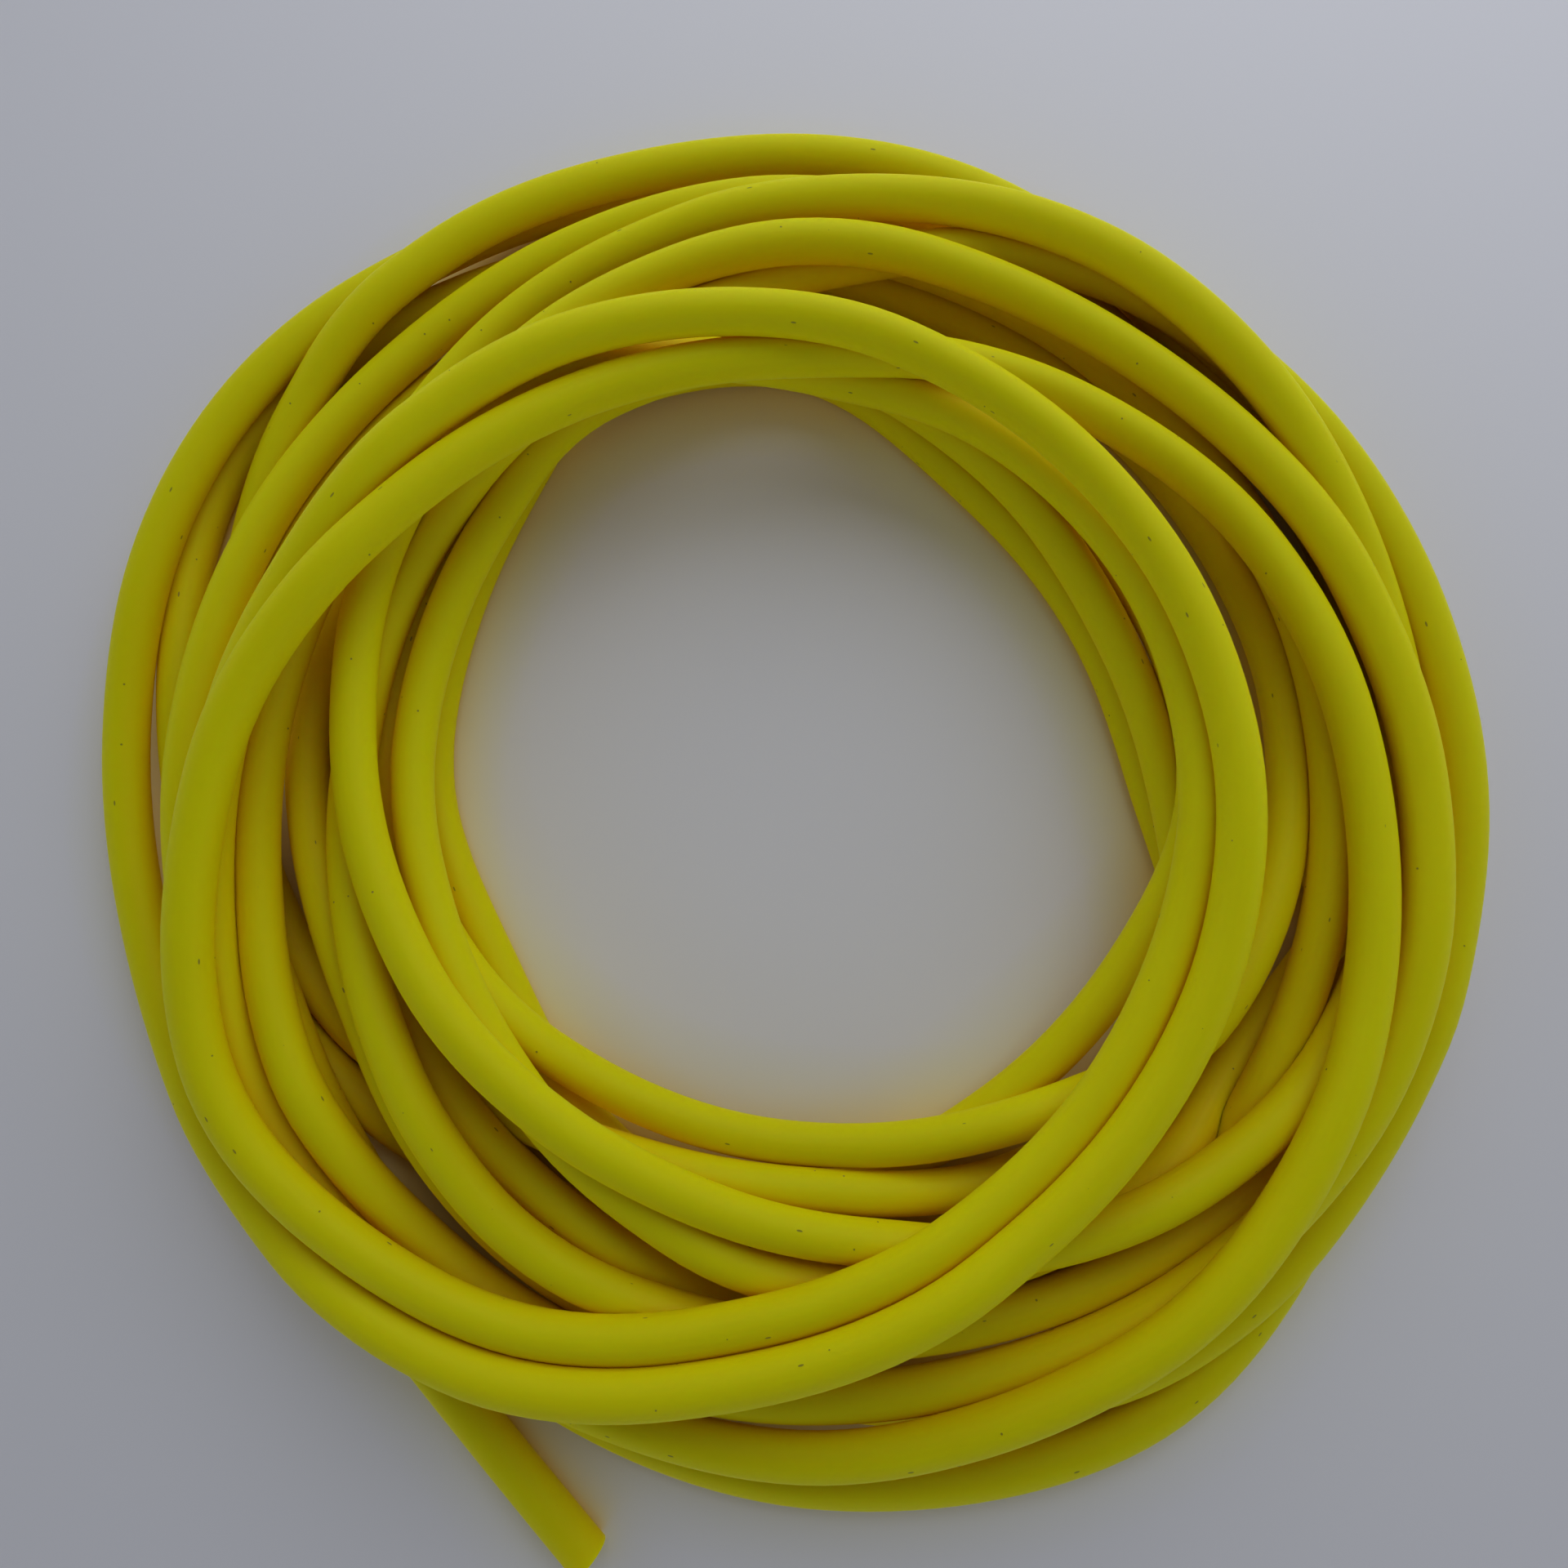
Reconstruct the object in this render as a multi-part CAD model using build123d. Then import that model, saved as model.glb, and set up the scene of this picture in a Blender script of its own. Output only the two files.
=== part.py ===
"""Loose coil of soft hollow tubing: one length of extruded tube, lying flat and untied.

Frame: +Z up, z = 0 is the surface the coil lies on, X and Y centred on the whole part.
Units: millimetres. Angles are in degrees, anticlockwise from +X seen from above.
"""
from build123d import *

import math
import os

# ---------------------------------------------------------------- driving dimensions
TUBE_OD = 5.0                   # outside diameter of the tubing
TUBE_ID = 3.0                   # bore of the tubing
COIL_X = 5.2                    # middle of the coil from the middle of the whole part
COIL_Y = 1.4
COIL_HEIGHT = 4.8 * TUBE_OD     # the pile is between four and five tubes high at its crown

# The pile of turns, in tube diameters from the middle of the coil, every 30 degrees from +X.
OUTER_EDGE = (16.0, 16.2, 16.9, 17.9, 18.5, 18.7, 18.0, 17.3, 16.9, 17.0, 17.7, 16.3)
INNER_EDGE = (8.2, 8.0, 8.5, 9.3, 9.3, 9.4, 9.0, 8.5, 8.3, 8.3, 8.3, 8.3)

# Section of the pile: share of its height, then how far the outer and the inner side
# have drawn in at that height, in tube diameters.
PILE_SECTION = (
    (0.00, 0.4, 0.7),
    (0.11, 0.0, 0.3),
    (0.33, 0.6, 0.1),
    (0.55, 2.1, 0.6),
    (0.78, 3.4, 1.3),
    (1.00, 4.4, 2.2),
)

# The free end: its route along the surface, from under the coil to the cut end,
# measured from the middle of the coil. Every run turns a little the same way.
FREE_END_ROUTE = (
    (-58.3, -54.3),
    (-50.5, -63.4),
    (-42.1, -72.8),
    (-33.6, -82.1),
    (-25.4, -90.9),
)
ARC_SHARE = 0.45                # share of the shorter run that each arc takes up


# ---------------------------------------------------------------- coil
def pile_outline(edge, inset, height):
    """Closed smooth outline of the pile at one height, as a face."""
    step = 360 / len(edge)
    points = []
    for i, distance in enumerate(edge):
        angle = math.radians(i * step)
        reach = (distance + inset) * TUBE_OD
        points.append((COIL_X + reach * math.cos(angle), COIL_Y + reach * math.sin(angle), height))
    return Face(Wire([Edge.make_spline(points, periodic=True)]))


def make_coil():
    """Outer shape of the pile of turns: a low off-round ring, domed on top, flat underneath."""
    outer_faces = []
    hole_faces = []
    for share, outer_inset, inner_inset in PILE_SECTION:
        height = share * COIL_HEIGHT
        outer_faces.append(pile_outline(OUTER_EDGE, -outer_inset, height))
        hole_faces.append(pile_outline(INNER_EDGE, inner_inset, height))
    return loft(outer_faces) - loft(hole_faces)


# ---------------------------------------------------------------- free end
def free_end_path():
    """Straight runs joined by tangent arcs as large as the runs allow."""
    radius = TUBE_OD / 2
    points = [Vector(COIL_X + x, COIL_Y + y, radius) for x, y in FREE_END_ROUTE]
    radii = []
    for before, corner, after in zip(points, points[1:], points[2:]):
        turn = (corner - before).get_angle(after - corner)
        shorter = min((corner - before).length, (after - corner).length)
        radii.append(ARC_SHARE * shorter / math.tan(math.radians(turn / 2)))
    print("free end radii, mm:", [round(r, 1) for r in radii])
    return FilletPolyline(*points, radius=radii)


def make_free_end(coil):
    """Hollow tube with a square-cut open end, ending at the coil's side."""
    path = free_end_path()
    start = Plane(origin=path @ 0, z_dir=path % 0)
    ring = start * (Circle(TUBE_OD / 2) - Circle(TUBE_ID / 2))
    tube = sweep(ring, path=path)
    section = math.pi * (TUBE_OD ** 2 - TUBE_ID ** 2) / 4
    print("free end volume / (section x length):", round(tube.volume / (section * path.length), 4))
    pieces = (tube - coil).solids()
    return max(pieces, key=lambda piece: piece.volume)


# ---------------------------------------------------------------- write the nodes
def main():
    os.makedirs("parts", exist_ok=True)
    coil = make_coil()
    free_end = make_free_end(coil)
    for name, shape in (("coil", coil), ("free_end", free_end)):
        export_step(shape, f"parts/{name}.step")
    whole = coil.bounding_box().add(free_end.bounding_box())
    print("whole part, low and high corners, mm:", whole.min, whole.max)


main()
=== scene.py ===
"""Loose, untied coil of soft yellow hollow tubing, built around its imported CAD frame.

One length of tube: its turns are laid from a short table, settled onto each other and the
floor, and followed by one smooth spline that ends in the free, square-cut end.
Metres and +Z up, apart from the lay and the settling, which count in tube diameters.
"""
import math

import bpy
import numpy as np
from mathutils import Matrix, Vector


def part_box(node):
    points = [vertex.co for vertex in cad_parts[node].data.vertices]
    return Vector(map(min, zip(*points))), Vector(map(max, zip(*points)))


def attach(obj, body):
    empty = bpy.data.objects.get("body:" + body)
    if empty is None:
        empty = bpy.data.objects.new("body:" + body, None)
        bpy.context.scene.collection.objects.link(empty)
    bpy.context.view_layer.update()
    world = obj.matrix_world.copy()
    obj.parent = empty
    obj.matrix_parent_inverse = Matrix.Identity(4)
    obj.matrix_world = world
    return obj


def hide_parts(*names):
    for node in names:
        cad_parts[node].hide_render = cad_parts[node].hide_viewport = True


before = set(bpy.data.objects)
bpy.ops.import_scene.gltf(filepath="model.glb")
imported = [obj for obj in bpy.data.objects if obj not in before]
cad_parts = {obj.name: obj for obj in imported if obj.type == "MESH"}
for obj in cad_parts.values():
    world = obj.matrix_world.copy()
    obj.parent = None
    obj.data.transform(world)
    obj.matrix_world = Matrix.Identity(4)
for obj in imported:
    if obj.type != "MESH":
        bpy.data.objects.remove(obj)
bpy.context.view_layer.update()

# ---------------------------------------------------------------- sizes
END_LOW, END_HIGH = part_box("free_end")
TUBE_D = END_HIGH.z - END_LOW.z         # outside diameter: the free end lies flat on the floor
BORE_D = 0.6 * TUBE_D
MM = 0.001
COIL_X, COIL_Y = 0.0052, 0.0014         # middle of the coil in the part's frame

# ---------------------------------------------------------------- the lay of the turns
STATION = 30                            # degrees between the stations of the tables below
FIRST_STATION = 4                       # the inner end lies at the fourth station, at 120 degrees

# Distance of the tube from the coil's middle, in tube diameters, at stations every 30 degrees
# anticlockwise from +X. One row per turn, in the order that the tube runs.
LAY = (
    (12.4, 10.2, 9.6, 9.0, 10.1, 11.4, 12.3, 10.5),                               # a
    (8.9, 8.6, 9.5, 11.0, 11.0, 10.0, 9.6, 9.4, 10.2, 11.6, 12.3, 12.7),          # b
    (14.6, 15.4, 16.3, 16.9, 17.0, 16.3, 14.6, 12.8, 10.1, 9.7, 10.9, 11.2),      # c
    (8.8, 8.5, 9.1, 11.3, 11.6, 11.1, 10.6, 9.5, 8.8, 8.8, 9.4, 11.1),            # d
    (12.0, 12.5, 13.2, 14.2, 16.2, 17.7, 16.0, 13.9, 12.0, 10.3, 9.2, 8.9),       # e
    (9.4, 9.7, 10.8, 12.6, 13.0, 13.2, 12.4, 11.4, 11.7, 13.0, 13.9, 12.9),       # f
    (12.6, 13.0, 13.6, 14.4, 14.6, 14.8, 14.2, 13.8, 15.5, 16.6, 17.2, 15.6),     # g
    (12.7, 13.6, 15.3, 17.2, 17.5, 17.7, 17.2, 16.3, 15.0, 12.6, 10.8, 9.9),      # h
    (9.4, 9.4, 9.7, 10.3, 11.0, 11.8, 13.4, 14.7, 15.1, 15.4, 14.5, 13.5),        # i
    (12.7, 12.2, 11.1, 9.9, 10.0, 10.8, 12.9, 14.9, 14.0, 11.7, 10.1, 9.2),       # j
    (9.0, 9.3, 9.7, 10.1, 11.0, 12.1, 12.9, 13.6, 14.2, 14.3, 14.4, 14.5),        # k
    (14.0, 13.5, 13.1, 13.1, 12.6, 11.6, 10.5, 9.8, 9.6, 10.4, 12.0, 13.5),       # l
    (14.4, 14.5, 14.8, 14.5, 14.2, 13.2, 12.3, 11.9, 13.1, 14.6, 16.1, 15.7),     # m
    (15.5, 15.4, 14.9, 13.0, 11.2, 11.1, 11.0, 11.3, 12.4, 12.9, 13.6, 14.7),     # n
    (15.1, 15.7, 15.7, 15.2, 15.4, 15.4, 15.3, 15.6),                             # o
)

# Which turn lies on which at each station, from the bottom up, by the letters above.
PILE_ORDER = (
    "dbhgefconkijml",
    "dbhgfeconkjiml",
    "dbhfegconkjiml",
    "dbfeghconmlkji",
    "adbfeghconmlkji",
    "adbfeghcomnlkij",
    "adcfbegohmnlkij",
    "oadcebfgihmnlkj",
    "oeadfcbgmnlkihj",
    "eadfcbgmnlkihj",
    "eadfcbgmnlkijh",
    "acdegbfmnlkijh",
)

# The free end along the floor, from the middle of the coil, as the CAD has it.
FREE_END = (
    (-0.0583, -0.0543),
    (-0.0505, -0.0634),
    (-0.0421, -0.0728),
    (-0.0336, -0.0821),
    (-0.0254, -0.0909),
)


LEVEL_STEP = 1.1        # height between the levels that the turns sink from, in diameters
POINTS_PER_STATION = 20


def lay_points():
    """The turns as rough points, in tube diameters from the coil's middle, each at its own level."""
    reaches = [reach for row in LAY for reach in row]
    points = []
    for step, reach in enumerate(reaches, start=FIRST_STATION):
        angle = math.radians(step * STATION)
        letter = chr(ord("a") + step // len(PILE_ORDER))
        level = PILE_ORDER[step % len(PILE_ORDER)].index(letter)
        points.append((reach * math.cos(angle), reach * math.sin(angle), 0.5 + LEVEL_STEP * level))
    return points


def smooth_through(points):
    """Catmull-Rom curve through the points."""
    q = np.array(points)
    q = np.vstack([2 * q[0] - q[1], q, 2 * q[-1] - q[-2]])
    t = (np.arange(POINTS_PER_STATION) / POINTS_PER_STATION)[:, None]
    spans = []
    for a, b, c, d in zip(q, q[1:], q[2:], q[3:]):
        spans.append(0.5 * (2 * b + (c - a) * t + (2 * a - 5 * b + 4 * c - d) * t ** 2
                            + (3 * b - a - 3 * c + d) * t ** 3))
    return np.vstack(spans + [q[-2:-1]])


def evenly_spaced(points, spacing):
    """The same line with points an even distance apart in plan."""
    steps = np.linalg.norm(np.diff(points[:, :2], axis=0), axis=1)
    along = np.concatenate([[0.0], np.cumsum(steps)])
    stops = np.linspace(0.0, along[-1], int(round(along[-1] / spacing)) + 1)
    return np.stack([np.interp(stops, along, points[:, axis]) for axis in range(3)], axis=1)


# ---------------------------------------------------------------- settling
SPACING = 0.5           # distance between the points of the settling tube, in diameters
OWN_NEIGHBOURS = 4      # points this close along the tube are not a contact
CONTACT = 0.98          # turns nearer than this in plan lie one on the other
VOTE = 0.05             # what a bare touch counts for in the choice of the turn on top
STEPS = 2500
FALL = 0.02             # drop of each point in a step, in diameters
CALM_AFTER = 0.8        # share of the steps after which the tube falls more slowly
CALM_FALL = 0.3         # and how much more slowly
PASSES = 4              # times that the contacts are eased apart in a step
PUSH = 1.2              # share of an overlap that one pass takes away
STIFFNESS = 0.25        # how strongly the tube evens out its slope, up to 1
STRIDES = (1, 2, 4, 8)  # distances over which it does so, in points
ROUTE_STRIDE = 3        # every third point of the settled tube is a control point of the spline


def stations_along(points):
    """Where each point lies along the lay, counted in stations."""
    angles = np.unwrap(np.arctan2(points[:, 1], points[:, 0]))
    return np.degrees(angles - angles[0]) / STATION + FIRST_STATION


def crossings(points):
    """Pairs of points whose turns overlap in plan, the height they need, and which one is on top."""
    plan = points[:, :2]
    square = (plan ** 2).sum(axis=1)
    gap = square[:, None] + square[None, :] - 2 * plan @ plan.T
    first, second = np.nonzero(gap < CONTACT ** 2)
    apart = second - first > OWN_NEIGHBOURS
    first, second = first[apart], second[apart]
    need = np.sqrt(np.maximum(1.0 - gap[first, second], 0.0))

    around = len(PILE_ORDER)
    levels = np.array([order.find(chr(ord("a") + turn)) for turn in range(len(LAY) + 1)
                       for order in PILE_ORDER])
    place = stations_along(points)
    station = np.rint(place[first]).astype(int)
    turns = np.rint((place[second] - place[first]) / around).astype(int)
    on_top = np.sign(levels[station + around * turns] - levels[station])

    # Where two turns overlap for a stretch, the same one stays on top all the way.
    order = np.lexsort((first, turns))
    new_stretch = (np.diff(turns[order]) != 0) | (np.diff(first[order]) > 2)
    stretch = np.empty(len(order), int)
    stretch[order] = np.concatenate([[0], np.cumsum(new_stretch)])
    votes = np.bincount(stretch, on_top * (need + VOTE))
    on_top = np.where(votes >= 0, 1.0, -1.0)[stretch]
    return first, second, need, on_top


def unbend(heights):
    """Evens out the slope of the tube, as its own stiffness does."""
    for m in STRIDES:
        bend = np.zeros_like(heights)
        bend[m:-m] = heights[:-2 * m] - 2 * heights[m:-m] + heights[2 * m:]
        push = np.zeros_like(heights)
        push[m:-m] = bend[:-2 * m] - 2 * bend[m:-m] + bend[2 * m:]
        heights = heights - STIFFNESS / 16 * push
    return heights


def settle(points):
    """Lets the turns sink onto each other and the floor; their lay in plan stays as it is."""
    first, second, need, on_top = crossings(points)
    count = len(points)
    heights = points[:, 2].copy()
    steps = STEPS
    for step in range(steps):
        fall = FALL if step < CALM_AFTER * steps else CALM_FALL * FALL
        heights = unbend(heights - fall)
        for _ in range(PASSES):
            lack = need - (heights[second] - heights[first]) * on_top
            hit = lack > 0
            i, j = first[hit], second[hit]
            push = 0.5 * on_top[hit] * lack[hit]
            shift = np.bincount(j, push, count) - np.bincount(i, push, count)
            contacts = np.bincount(i, minlength=count) + np.bincount(j, minlength=count)
            heights += PUSH * shift / np.maximum(contacts, 1)
            heights = np.maximum(heights, 0.5)
    lack = need - (heights[second] - heights[first]) * on_top
    print("deepest overlap of two turns, in diameters:", round(float(lack.max()), 2),
          "pairs over 0.1:", int((lack > 0.1).sum()))
    return np.column_stack([points[:, :2], heights])


def route_points():
    """Control points of the whole tube, in metres in the part's frame, down to the free end's mouth."""
    free_end = [(x / TUBE_D, y / TUBE_D, 0.5) for x, y in FREE_END]
    line = settle(evenly_spaced(smooth_through(lay_points() + free_end), SPACING))
    route = np.vstack([line[:-2:ROUTE_STRIDE], line[-1:]]) * TUBE_D
    return route + np.array((COIL_X, COIL_Y, 0.0))


# ---------------------------------------------------------------- the tube
SIDES = 20              # of the tube's round section
SHARP = 40              # degrees; only the cut ends have sharper edges


def spline_line(route):
    """Points along one smooth NURBS spline with the route as its control points."""
    curve = bpy.data.curves.new("route", "CURVE")
    curve.dimensions = "3D"
    spline = curve.splines.new("NURBS")
    spline.points.add(len(route) - 1)
    for point, place in zip(spline.points, route):
        point.co = (*place, 1.0)
    spline.order_u = 3
    spline.use_endpoint_u = True
    spline.resolution_u = 3
    holder = bpy.data.objects.new("route", curve)
    bpy.context.scene.collection.objects.link(holder)
    bpy.context.view_layer.update()
    mesh = bpy.data.meshes.new_from_object(holder)
    line = [vertex.co.copy() for vertex in mesh.vertices]
    bpy.data.objects.remove(holder)
    bpy.data.curves.remove(curve)
    bpy.data.meshes.remove(mesh)
    return line


def ring_frames(line):
    """At each point of the line, two directions across it that never twist."""
    frames = []
    across = Vector((0, 0, 1))
    for index, point in enumerate(line):
        ahead = line[min(index + 1, len(line) - 1)] - line[max(index - 1, 0)]
        ahead.normalize()
        across = (across - ahead * across.dot(ahead)).normalized()
        frames.append((point, across.copy(), ahead.cross(across)))
    return frames


def make_tube(line):
    """Hollow tube along the line: outer skin, bore wall and the two cut faces, all one closed mesh."""
    frames = ring_frames(line)
    along = [0.0]
    for before, after in zip(line, line[1:]):
        along.append(along[-1] + (after - before).length)
    corners, skin = [], []
    for radius in (TUBE_D / 2, BORE_D / 2):
        for (point, across, beside), run in zip(frames, along):
            for side in range(SIDES):
                angle = 2 * math.pi * side / SIDES
                c, s = radius * math.cos(angle), radius * math.sin(angle)
                corners.append(point + across * c + beside * s)
                skin.append((c, s, run))
    rings = len(line)
    inner = rings * SIDES
    faces = []
    for ring in range(rings - 1):
        for side in range(SIDES):
            a = ring * SIDES + side
            b = ring * SIDES + (side + 1) % SIDES
            faces.append((a, b, b + SIDES, a + SIDES))
            faces.append((inner + a, inner + a + SIDES, inner + b + SIDES, inner + b))
    last = (rings - 1) * SIDES
    for side in range(SIDES):
        a, b = side, (side + 1) % SIDES
        faces.append((a, inner + a, inner + b, b))
        faces.append((last + a, last + b, inner + last + b, inner + last + a))
    mesh = bpy.data.meshes.new("tube")
    mesh.from_pydata(corners, [], faces)
    mesh.shade_smooth()
    mesh.set_sharp_from_angle(angle=math.radians(SHARP))
    straight = mesh.attributes.new("straight_tube", "FLOAT_VECTOR", "POINT")
    straight.data.foreach_set("vector", [value for place in skin for value in place])
    tube = bpy.data.objects.new("tube", mesh)
    bpy.context.scene.collection.objects.link(tube)
    return tube, along[-1]


# ---------------------------------------------------------------- materials
def new_material(name):
    """A material with its nodes, links and shader."""
    material = bpy.data.materials.new(name)
    material.use_nodes = True
    nodes = material.node_tree.nodes
    return material, nodes, material.node_tree.links, nodes["Principled BSDF"]


def add_node(nodes, kind, settings=(), **inputs):
    """Adds a node with its properties set, and fills the inputs that are named here."""
    node = nodes.new("ShaderNode" + kind)
    for name, value in dict(settings).items():
        setattr(node, name, value)
    for name, value in inputs.items():
        node.inputs[name.replace("_", " ")].default_value = value
    return node


def ramp(nodes, links, source, stops):
    """Colour ramp with its stops as (position, colour), driven by the source socket."""
    node = nodes.new("ShaderNodeValToRGB")
    node.color_ramp.interpolation = "EASE"
    elements = node.color_ramp.elements
    while len(elements) < len(stops):
        elements.new(0.5)
    for element, (position, colour) in zip(elements, stops):
        element.position = position
        element.color = (*colour, 1.0)
    links.new(source, node.inputs["Fac"])
    return node.outputs["Color"]


def mix(nodes, links, blend, factor, first, second):
    """Mixes two colours; each of the three inputs is a socket or a plain value."""
    node = add_node(nodes, "Mix", {"data_type": "RGBA", "blend_type": blend})
    for socket, value in ((node.inputs[0], factor), (node.inputs[6], first), (node.inputs[7], second)):
        if isinstance(value, bpy.types.NodeSocket):
            links.new(value, socket)
        else:
            socket.default_value = value if isinstance(value, float) else (*value, 1.0)
    return node.outputs[2]


SHADE_ORANGE = (0.98, 0.56, 0.0)          # painted shade, deep between the turns
SHADE_AMBER = (0.94, 0.69, 0.0)           # painted half shade on the low turns
LEMON = (0.85, 0.757, 0.0)          # open to the light
DUST = (0.10, 0.085, 0.05)


def tube_material():
    """Soft translucent yellow elastomer: matt, faintly streaked, with painted amber and orange shade
    where turns crowd together.
    """
    material, nodes, links, shader = new_material("yellow_elastomer")
    straight = add_node(nodes, "Attribute", {"attribute_name": "straight_tube"})

    def skin(scale):
        """The tube laid straight, stretched by the scale in (across, across, along)."""
        node = add_node(nodes, "VectorMath", {"operation": "MULTIPLY"})
        links.new(straight.outputs["Vector"], node.inputs[0])
        node.inputs[1].default_value = scale
        return node.outputs[0]

    def noise(vector, detail):
        node = add_node(nodes, "TexNoise", Scale=1.0, Detail=detail)
        links.new(vector, node.inputs["Vector"])
        return node.outputs["Fac"]

    # Painted shade: an occlusion ramp turns the yellow amber and orange where turns crowd, in place of
    # the shade and the reddened light between them.
    shade_amount = add_node(nodes, "AmbientOcclusion", {"samples": 2}, Distance=3.5 * TUBE_D)
    tone = ramp(nodes, links, shade_amount.outputs["AO"], (
        (0.04, SHADE_ORANGE),
        (0.26, SHADE_AMBER),
        (0.70, LEMON),
    ))
    blotches = ramp(nodes, links, noise(skin((260.0, 260.0, 45.0)), 3.0),
                    ((0.30, (0.975, 0.965, 1.0)), (0.70, (1.0, 1.0, 1.0))))
    tone = mix(nodes, links, "MULTIPLY", 1.0, tone, blotches)

    # Dust and lint: sparse dark specks, some drawn out along the tube.
    for stretch, size in (((270.0, 270.0, 270.0), 0.030), ((400.0, 400.0, 120.0), 0.036)):
        specks = add_node(nodes, "TexVoronoi", Scale=1.0)
        links.new(skin(stretch), specks.inputs["Vector"])
        edge = add_node(nodes, "MapRange", From_Min=size, From_Max=1.3 * size, To_Min=0.65, To_Max=0.0)
        links.new(specks.outputs["Distance"], edge.inputs["Value"])
        tone = mix(nodes, links, "MIX", edge.outputs["Result"], tone, DUST)
    links.new(tone, shader.inputs["Base Color"])

    streaks = noise(skin((2600.0, 2600.0, 60.0)), 2.0)
    grain = noise(skin((9000.0, 9000.0, 9000.0)), 2.0)
    rough = add_node(nodes, "MapRange", From_Min=0.3, From_Max=0.7, To_Min=0.50, To_Max=0.66)
    links.new(grain, rough.inputs["Value"])
    links.new(rough.outputs["Result"], shader.inputs["Roughness"])
    low = add_node(nodes, "Bump", Strength=0.3, Distance=0.008 * MM)
    links.new(streaks, low.inputs["Height"])
    fine = add_node(nodes, "Bump", Strength=0.3, Distance=0.006 * MM)
    links.new(grain, fine.inputs["Height"])
    links.new(low.outputs["Normal"], fine.inputs["Normal"])
    links.new(fine.outputs["Normal"], shader.inputs["Normal"])

    shader.inputs["Subsurface Weight"].default_value = 1.0
    shader.inputs["Subsurface Radius"].default_value = (1.0, 0.75, 0.02)
    shader.inputs["Subsurface Scale"].default_value = 3.0 * MM
    shader.inputs["Specular IOR Level"].default_value = 0.15
    shader.inputs["IOR"].default_value = 1.41
    return material


def floor_material():
    """Plain pale floor with painted yellow-brown shade and bounce light where the tubing crowds over it.
    """
    material, nodes, links, shader = new_material("pale_floor")
    # Painted shade and bounce light: the floor goes yellow-brown under and between the turns.
    shade_amount = add_node(nodes, "AmbientOcclusion", {"samples": 2}, Distance=2.0 * TUBE_D)
    tone = ramp(nodes, links, shade_amount.outputs["AO"], (
        (0.28, (0.85, 0.63, 0.05)),
        (0.52, (0.85, 0.84, 0.58)),
        (0.85, (0.86, 0.865, 0.925)),
    ))
    links.new(tone, shader.inputs["Base Color"])
    shader.inputs["Roughness"].default_value = 0.8
    shader.inputs["Specular IOR Level"].default_value = 0.2
    return material


# ---------------------------------------------------------------- surroundings
def make_floor():
    """Plain floor, half its width in each direction from the middle."""
    size = 3.0
    mesh = bpy.data.meshes.new("floor")
    corners = [(-size, -size, 0), (size, -size, 0), (size, size, 0), (-size, size, 0)]
    mesh.from_pydata(corners, [], [(0, 1, 2, 3)])
    mesh.materials.append(floor_material())
    floor = bpy.data.objects.new("floor", mesh)
    bpy.context.scene.collection.objects.link(floor)


def make_lights():
    """Even light from low all round, less from overhead, and one soft lamp behind."""
    world = bpy.data.worlds.new("studio")
    world.use_nodes = True
    nodes, links = world.node_tree.nodes, world.node_tree.links
    direction = add_node(nodes, "TexCoord")
    split = add_node(nodes, "SeparateXYZ")
    links.new(direction.outputs["Generated"], split.inputs["Vector"])
    glow = ramp(nodes, links, split.outputs["Z"], (
        (0.0, (0.57, 0.59, 0.63)),
        (0.95, (0.09, 0.092, 0.097)),
    ))
    links.new(glow, nodes["Background"].inputs["Color"])
    bpy.context.scene.world = world
    light = bpy.data.lights.new("softbox", "AREA")
    light.size = 0.35
    light.energy = 0.60
    light.color = (0.95, 0.97, 1.0)
    holder = bpy.data.objects.new("softbox", light)
    holder.location = (0.10, 0.28, 0.27)
    holder.visible_camera = False
    holder.rotation_euler = (Vector((0, 0, 0)) - holder.location).to_track_quat("-Z", "Y").to_euler()
    bpy.context.scene.collection.objects.link(holder)


def make_camera():
    """Close above the coil, looking down and slightly away."""
    elevation = math.radians(83)
    distance = 0.118
    target = Vector((COIL_X - 0.0027, COIL_Y, 0.0))
    back = Vector((0.0, -math.cos(elevation), math.sin(elevation)))
    data = bpy.data.cameras.new("camera")
    data.sensor_width = 36.0
    data.lens = 20.6
    data.clip_start = 0.01
    camera = bpy.data.objects.new("camera", data)
    camera.location = target + back * distance
    camera.rotation_euler = (-back).to_track_quat("-Z", "Y").to_euler()
    bpy.context.scene.collection.objects.link(camera)
    bpy.context.scene.camera = camera


# ---------------------------------------------------------------- build
make_camera()
make_lights()
make_floor()
bpy.context.scene.view_settings.view_transform = "Standard"

line = spline_line(route_points())
tube, length = make_tube(line)
tube.data.materials.append(tube_material())
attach(tube, "root")
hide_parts("coil", "free_end")
